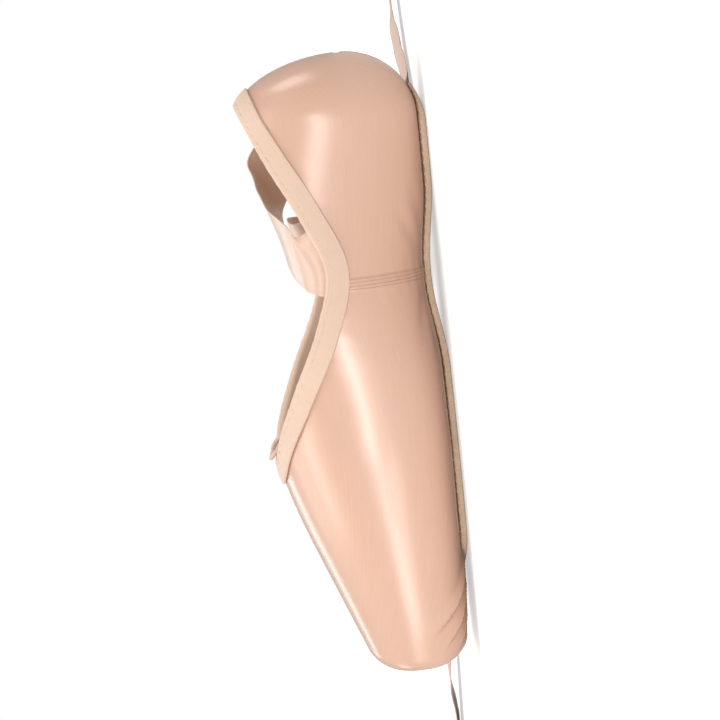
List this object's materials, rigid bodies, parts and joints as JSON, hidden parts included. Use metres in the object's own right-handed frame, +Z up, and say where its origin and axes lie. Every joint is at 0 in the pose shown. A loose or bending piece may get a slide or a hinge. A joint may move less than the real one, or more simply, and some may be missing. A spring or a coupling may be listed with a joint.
{
  "type": "pointe shoe",
  "caption": "Peach satin pointe shoe with a flat platform toe, bound collar, leather outsole and loose ankle ribbons, standing empty on its sole.",
  "frame": {"origin": "on the plane that the shoe stands on, under the middle of the shoe's length and width, ribbons and drawstring left out", "axes": "+X towards the toe, +Z up, +Y to the side that the picture shows"},
  "size_m": [0.5372, 0.2958, 0.0711],
  "materials": {
    "satin": "satin",
    "tape": "matte",
    "sole_leather": "matte",
    "sock": "matte",
    "cord": "matte",
    "ribbon": "satin"
  },
  "bodies": {
    "root": {"upper": "satin", "outsole": "sole_leather", "insole": "sock", "binding": "tape", "drawstring": "cord", "ribbon_near": "ribbon", "ribbon_far": "ribbon"}
  },
  "joints": []
}
